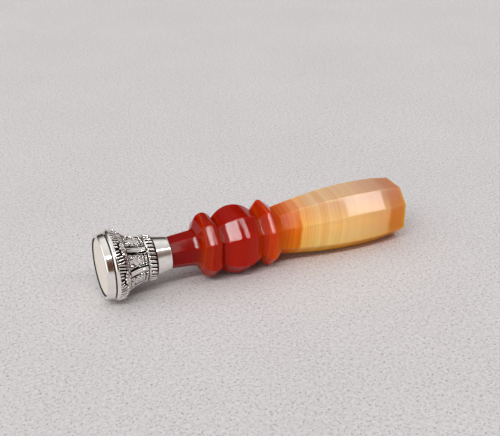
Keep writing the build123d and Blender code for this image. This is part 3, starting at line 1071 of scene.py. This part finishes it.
@dataclass
class Bell(ChasedRing):
    """Hollow flaring bell: seven straps, and between them arched panels with dots, a leaf and two scrolls."""

    foot: float = 3.0
    skirt_end: float = 5.2
    panel_front: float = 5.75
    shoulder: float = 11.1
    shoulder_step: float = 0.03
    tube_end: float = 14.6
    foot_radius: float = 7.75
    shoulder_radius: float = 5.667
    tube_radius: float = 4.667
    tube_bore: float = 4.267
    wall: float = 0.7
    columns_each: int = 120
    flare_rows: int = 76
    skirt_steps: Steps = (4,)
    inner_steps: Steps = (3, 4, 1, 4, 5, 3)
    strap_height: float = 0.2
    strap_half_width: float = 0.6
    strap_edge: Pair = (-0.1, 0.05)
    strap_cut: Stroke = Stroke(-0.3, 0.24, 0.32)
    strap_line: Stroke = Stroke(-0.08, -0.28, 0.11)
    panel_edge: Pair = (0.2, 0.5)
    panel_start: Pair = (-0.2, 0.1)
    panel_end: Pair = (5.2, 5.34)
    arch_margin: float = 0.5
    arch_narrowing: float = 0.35
    arch_height: float = 4.8
    arch_ridge: Stroke = Stroke(0.1, 0.3, 0.22)
    arch_groove: Stroke = Stroke(-0.22, 0.0, 0.24)
    head_ridge: Stroke = Stroke(0.1, 4.8, 0.2)
    head_groove: Stroke = Stroke(-0.2, 4.4, 0.22)
    dot: Stroke = Stroke(-0.26, 0.0, 0.3)
    dot_pitch: float = 0.95
    dot_margin: float = 0.5
    dot_start: Pair = (1.6, 1.9)
    scroll_up: float = 0.95
    scroll_across: float = 1.1
    scroll_eye: Stroke = Stroke(0.12, 0.2, 0.25)
    scroll_groove: Stroke = Stroke(-0.24, 0.55, 0.2)
    scroll_growth: float = 0.07
    scroll_end: Pair = (0.95, 1.15)
    leaf: Stroke = Stroke(0.1, 0.0, 1.0)
    leaf_up: float = 2.9
    leaf_half: Pair = (0.4, 0.8)
    hatch_height: float = 0.03
    hatch_per_mm: Pair = (1.2, 1.6)
    hatch_edge: Pair = (0.0, 0.5)
    recess_reach: int = 6
    recess_depth: float = 0.18
    lower_joint: Pair = (0.0, 0.4)
    upper_joint: Pair = (4.95, 5.25)

    def flare(self) -> np.ndarray:
        """Outline of the flare: the arc from the skirt that ends level with the axis at the shoulder.

        Returns:
            Axial place and radius of each row.
        """
        rise = self.foot_radius - self.shoulder_radius
        run = self.shoulder - self.skirt_end
        radius = (rise ** 2 + run ** 2) / (2 * rise)
        turn = np.linspace(2 * math.atan2(rise, run), 0, self.flare_rows)
        place = self.shoulder - radius * np.sin(turn)
        return np.stack([place, self.shoulder_radius + radius * (1 - np.cos(turn))], axis=1)

    def straps(self, past: np.ndarray) -> np.ndarray:
        """Straps: a flat raised band with a deep cut outside each edge and a fine line inside it."""
        band = self.strap_height * (1 - ease(*self.strap_edge, past))
        return band + self.strap_cut.at(past) + self.strap_line.at(past)

    def panel(self, up: np.ndarray, across: np.ndarray, half: np.ndarray) -> np.ndarray:
        """Panel: a hatched field under an arch line between the straps, with punched dots and two scrolls.

        Args:
            up: Millimetres from the lower border towards the shoulder, rows by 1.
            across: Millimetres from the panel's middle.
            half: Half width of the panel at that place.

        Returns:
            Height in millimetres.
        """
        side = np.abs(across)
        narrowing = self.arch_narrowing * np.clip(up / self.arch_height, 0, 1) ** 2
        past_arch = side - (half - self.arch_margin - narrowing)
        lines = self.arch_ridge.at(past_arch) + self.arch_groove.at(past_arch)
        lines = lines + self.head_ridge.at(up) + self.head_groove.at(up)
        from_dot = up - np.round(up / self.dot_pitch) * self.dot_pitch
        dots = self.dot.at(np.hypot(from_dot, past_arch + self.dot_margin)) * ease(*self.dot_start, up)
        distance = np.hypot(side - self.scroll_across, up - self.scroll_up)
        turn = np.arctan2(up - self.scroll_up, self.scroll_across - side)
        scroll = self.scroll_eye.at(distance) + self.scroll_groove.at(distance - self.scroll_growth * turn)
        scroll = scroll * (1 - ease(*self.scroll_end, distance))
        leaf = self.leaf.at(np.hypot(across / self.leaf_half[0], (up - self.leaf_up) / self.leaf_half[1]))
        waves = np.cos(FULL_TURN * (up * self.hatch_per_mm[0] + across * self.hatch_per_mm[1]))
        return lines + dots + scroll + leaf + self.hatch_height * waves * ease(*self.hatch_edge, -past_arch)

    def build(self, axis: SealAxis) -> bpy.types.Object:
        """Turns the bell's closed outline and raises straps and panels on its flare.

        Args:
            axis: The seal's own axes.

        Returns:
            The dressed bell.
        """
        flare = self.flare()
        before = polyline([(self.foot, self.foot_radius), (self.skirt_end, self.foot_radius)],
                          self.skirt_steps, closed=False)[:-1]
        inner_radius = self.foot_radius - self.wall
        inside = polyline([
            (self.shoulder, self.shoulder_radius - self.shoulder_step), (self.shoulder, self.tube_radius),
            (self.tube_end, self.tube_radius), (self.tube_end, self.tube_bore),
            (self.shoulder - self.wall, self.tube_bore), (self.skirt_end, inner_radius),
            (self.foot, inner_radius)], self.inner_steps, closed=False)
        outline = np.concatenate([before, flare, inside])
        on_flare = np.zeros((len(outline), 1))
        on_flare[len(before):len(before) + len(flare)] = 1
        place, radius = outline[:, :1], outline[:, 1:]
        angle = ring_angles(self.strap_count * self.columns_each)[None, :]
        away = self.from_strap(angle)
        half_pitch = math.pi / self.strap_count
        middle = away - np.sign(away) * half_pitch
        up = place - self.panel_front
        past_strap = np.abs(away) * radius - self.strap_half_width
        panel = self.panel(up, middle * radius, half_pitch * radius - self.strap_half_width)
        shown = on_flare * ease(*self.panel_start, up) * (1 - ease(*self.panel_end, up))
        height = (self.straps(past_strap) + panel * ease(*self.panel_edge, past_strap)) * shown
        clean = ease(*self.lower_joint, up) * (1 - ease(*self.upper_joint, up))
        relief = self.recess(height, self.recess_reach, self.recess_depth) * (1 - on_flare * (1 - clean))
        piece = ring_mesh("chased_bell", axis, turn_rings(outline, height), Ends.LOOP, relief)
        return stand_for(piece, "bell_body", PolishedSilver("chased_silver_bell").material())


@dataclass
class HiddenCore:
    """Pieces inside the mount, which keep their solids: foot plate, tang and cement."""

    foot_plate: DullFinish = DullFinish("oxidised_silver", "#6E665E", "#2B2622", 1.0, 0.45, 1.5)
    tang: DullFinish = DullFinish("drawn_brass", "#C79A52", "#8E6A34", 1.0, 0.35, 1.2)
    cement: DullFinish = DullFinish("shellac_cement", "#4A2C1B", "#23140C", 0.0, 0.7, 2.0)

    def dress(self) -> list[str]:
        """Puts the three finishes on their solids.

        Returns:
            Names of the solids.
        """
        finishes = {"foot_plate": self.foot_plate, "handle_tang": self.tang, "setting_cement": self.cement}
        for name, finish in finishes.items():
            material = finish.material()
            for slot in frame["nodes"][name].material_slots:
                slot.material = material
        return list(finishes)


@dataclass(frozen=True)
class WindowPane:
    """One bright pane of the window above and in front of the seal: its place in the window's plane."""

    name: str
    left: float
    right: float
    low: float
    high: float
    radiance: float


@dataclass
class Studio:
    """Floor, soft surround, window light and camera. The room's lengths are in metres."""

    window_distance: float = 10.0
    window_direction: Triple = (0.0, -0.51, 0.86)
    window_colour: str = "#FFFDFA"
    panes: tuple[WindowPane, ...] = (
        WindowPane("far_pane", -9.25, -6.75, 0.25, 0.95, 34.0),
        WindowPane("left_pane", -6.75, -3.75, -0.05, 0.50, 33.0),
        WindowPane("middle_pane", -3.75, 0.75, -0.35, 0.15, 30.0),
        WindowPane("dim_pane", 0.75, 1.25, -0.38, 0.0, 4.0),
        WindowPane("bridge_pane", 1.25, 4.0, -0.08, 0.15, 15.0),
        WindowPane("right_pane", 4.0, 7.5, -0.30, 0.33, 20.0),
    )
    room_strength: float = 0.93
    room_rise: Pair = (-0.2, 1.0)
    front_wall: Stops = (
        (0.0, "#D2CFCE"), (0.3, "#CCC7C4"), (0.6, "#C4BBB4"), (0.8, "#CFCDCC"), (1.0, "#F0F0F2"))
    back_wall: Stops = (
        (0.0, "#D2CFCE"), (0.27, "#D2CFCE"), (0.34, "#3E352F"), (0.52, "#4A4039"), (0.62, "#8F8A86"),
        (0.78, "#F4F4F6"), (1.0, "#FFFFFF"))
    back_range: Pair = (-0.25, 0.35)
    panelling: str = "#5E3F32"
    panelling_direction: Triple = (0.12, -0.89, 0.44)
    panelling_range: Pair = (0.78, 0.91)
    panelling_rise: Pair = (0.08, 0.2)
    daylight: tuple[float, float, float, float] = (1.45, 1.43, 1.4, 1.0)
    daylight_range: Pair = (-0.5, -0.8)
    camera_elevation: float = 28.096
    camera_azimuth: float = 23.365
    camera_roll: float = -0.121
    camera_distance_mm: float = 230.1
    camera_target_mm: Triple = (43.58, 7.08, 1.06)
    camera_clip: float = 0.01
    focal_pixels: float = 846.7
    sensor_mm: float = 36.0
    floor_half: float = 4.0

    def camera(self, axis: SealAxis) -> None:
        """Sets the camera at the photograph's angle, from its fitted direction, distance and focal length.

        Args:
            axis: The seal's own axes, on which the target and the direction are given.
        """
        elevation, azimuth, roll = (math.radians(a) for a in (
            self.camera_elevation, self.camera_azimuth, self.camera_roll))
        ahead = math.cos(elevation)
        back = np.array([-math.sin(azimuth) * ahead, -math.cos(azimuth) * ahead, math.sin(elevation)])
        level = np.cross([0.0, 0.0, 1.0], back)
        level /= np.linalg.norm(level)
        upright = np.cross(back, level)
        right = level * math.cos(roll) + upright * math.sin(roll)
        data = bpy.data.cameras.new("camera")
        data.sensor_width = self.sensor_mm
        data.lens = self.focal_pixels / PICTURE_WIDTH * data.sensor_width
        data.clip_start = self.camera_clip
        camera = bpy.data.objects.new("camera", data)
        matrix = np.eye(4)
        matrix[:3, :3] = axis.direction(np.stack([right, np.cross(back, right), back])).T
        matrix[:3, 3] = axis.place(np.array(self.camera_target_mm) + back * self.camera_distance_mm)
        camera.matrix_world = matrix.T
        bpy.context.scene.collection.objects.link(camera)
        bpy.context.scene.camera = camera

    def window(self) -> None:
        """Hangs the panes as area lights in a plane that faces the seal. Power is radiance x area x pi."""
        back = np.array(self.window_direction) / np.linalg.norm(self.window_direction)
        right = np.array([1.0, 0.0, 0.0])
        up = np.cross(back, right)
        for pane in self.panes:
            width, height = pane.right - pane.left, pane.high - pane.low
            data = bpy.data.lights.new(pane.name, "AREA")
            data.shape = "RECTANGLE"
            data.size = width
            data.size_y = height
            data.energy = pane.radiance * width * height * math.pi
            data.color = to_linear(self.window_colour)[:3]
            light = bpy.data.objects.new(pane.name, data)
            matrix = np.eye(4)
            matrix[:3, :3] = np.stack([right, up, back], axis=1)
            matrix[:3, 3] = (back * self.window_distance + right * (pane.left + pane.right) / 2
                             + up * (pane.low + pane.high) / 2)
            light.matrix_world = matrix.T
            bpy.context.scene.collection.objects.link(light)

    def surround(self) -> None:
        """Gives the room a pale ceiling, a pale wall on the viewer's side and a dim one behind the seal.

        Brown panelling below the window, which bright metal shows, and daylight from the left are laid over
        them.
        """
        world = bpy.data.worlds.new("room")
        world.use_nodes = True
        bpy.context.scene.world = world
        tree = world.node_tree
        direction = add_node(tree, "TexCoord", output="Generated")
        x, y, z = add_node(tree, "SeparateXYZ", (direction,)).node.outputs
        height = add_node(tree, "MapRange", (z, *self.room_rise))
        front, back = (add_node(tree, "ValToRGB", (height,), stops=stops)
                       for stops in (self.front_wall, self.back_wall))
        near = add_node(tree, "VectorMath", (direction, self.panelling_direction), "Value",
                        operation="DOT_PRODUCT")
        behind, facing, raised, leftward = (
            add_node(tree, "MapRange", (value, *limits), interpolation_type="SMOOTHSTEP")
            for value, limits in ((y, self.back_range), (near, self.panelling_range),
                                  (z, self.panelling_rise), (x, self.daylight_range)))
        panelled = add_node(tree, "Math", (facing, raised), operation="MULTIPLY")
        walls = add_node(tree, "Mix", {0: behind, 6: front, 7: back}, 2, data_type="RGBA")
        walls = add_node(tree, "Mix", {
            0: panelled, 6: walls, 7: to_linear(self.panelling)}, 2, data_type="RGBA")
        colour = add_node(tree, "Mix", {0: leftward, 6: walls, 7: self.daylight}, 2, data_type="RGBA")
        set_inputs(tree, tree.nodes["Background"], {"Color": colour, "Strength": self.room_strength})

    def floor(self) -> None:
        """Lays the card as one large sheet under the seal."""
        h = self.floor_half
        mesh = bpy.data.meshes.new("card_floor")
        mesh.from_pydata([(-h, -h, 0), (h, -h, 0), (h, h, 0), (-h, h, 0)], [], [(0, 1, 2, 3)])
        mesh.materials.append(PaleCard().material())
        card = bpy.data.objects.new("card_floor", mesh)
        bpy.context.scene.collection.objects.link(card)

    def build(self, axis: SealAxis) -> None:
        """Builds the whole studio.

        Args:
            axis: The seal's own axes.
        """
        self.camera(axis)
        self.window()
        self.surround()
        self.floor()
        bpy.context.scene.view_settings.view_transform = "Standard"


def main() -> None:
    """Builds the studio and every piece in order and reports each one."""
    logging.basicConfig(level=logging.INFO, format="%(name)s: %(message)s")
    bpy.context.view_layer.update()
    axis = SealAxis.from_record(frame["record"])
    Studio().build(axis)
    for part in (AgateHandle(), SealMatrix(), LowerBorder(), Bell(), UpperBorder(), NeckCollar()):
        piece = part.build(axis)
        LOG.info("%s: %d faces", piece.name, len(piece.data.polygons))
    for name in HiddenCore().dress():
        LOG.info("%s: solid kept", name)
    bpy.context.view_layer.update()


if __name__ == "__main__":
    main()
